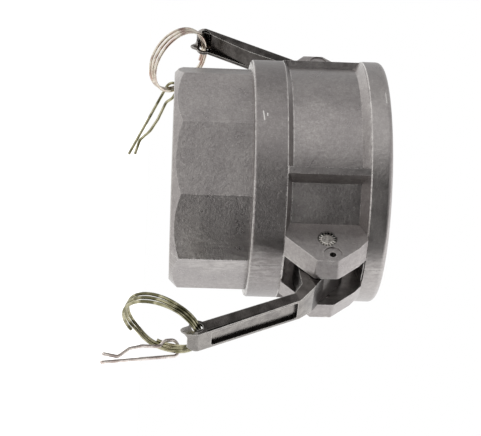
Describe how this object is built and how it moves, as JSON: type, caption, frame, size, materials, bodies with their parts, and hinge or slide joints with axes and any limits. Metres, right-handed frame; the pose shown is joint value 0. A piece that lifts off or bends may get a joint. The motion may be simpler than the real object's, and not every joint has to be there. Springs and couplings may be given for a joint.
{
  "type": "cam and groove coupling",
  "caption": "Threaded female coupling with two cam levers that swing in to lock a grooved adapter in its socket.",
  "frame": {"origin": "centre of the thread end's face, on the bore axis", "axes": "+Z along the bore from the thread end to the mouth, +X towards arm a, arm b at -X"},
  "size_m": [0.2202, 0.115, 0.1262],
  "materials": {
    "cast_body": "satin cast",
    "gasket": "matte",
    "pin": "satin",
    "cam_arm": "polished casting",
    "ring_wire": "yellow plated",
    "clip_wire_a": "plated",
    "clip_wire_b": "yellow plated"
  },
  "bodies": {
    "body": {"coupler_body": "cast_body", "gasket": "gasket", "hinge_pin_a": "pin", "hinge_pin_b": "pin"},
    "arm_a": {"cam_arm_a": "cam_arm"},
    "arm_b": {"cam_arm_b": "cam_arm"},
    "ring_a": {"pull_ring_a": "ring_wire"},
    "ring_b": {"pull_ring_b": "ring_wire"},
    "clip_a": {"safety_clip_a": "clip_wire_a"},
    "clip_b": {"safety_clip_b": "clip_wire_b"}
  },
  "joints": [
    {"name": "arm_a_swing", "type": "hinge", "parent": "body", "child": "arm_a", "pos_m": [0.0562, 0, 0.0699], "axis": [0, -1, 0], "range_deg": [-22, 96]},
    {"name": "ring_a_swing", "type": "hinge", "parent": "arm_a", "child": "ring_a", "pos_m": [0.09818, 0, 0.01279], "axis": [0, -1, 0], "range_deg": [-25, 60]},
    {"name": "clip_a_swing", "type": "hinge", "parent": "ring_a", "child": "clip_a", "pos_m": [0.09152, 0.01722, 0.00246], "axis": [0.3869, -0.2574, 0.8855], "range_deg": [-15, 15]},
    {"name": "arm_b_swing", "type": "hinge", "parent": "body", "child": "arm_b", "pos_m": [-0.0562, 0, 0.0699], "axis": [0, 1, 0], "range_deg": [-25.5, 92.5]},
    {"name": "ring_b_swing", "type": "hinge", "parent": "arm_b", "child": "ring_b", "pos_m": [-0.10159, 0, 0.01546], "axis": [0, 1, 0], "range_deg": [-5, 10]},
    {"name": "clip_b_swing", "type": "hinge", "parent": "ring_b", "child": "clip_b", "pos_m": [-0.08612, 0.02051, -0.00126], "axis": [-0.5948, 0.3083, 0.7424], "range_deg": [-8, 15]}
  ]
}
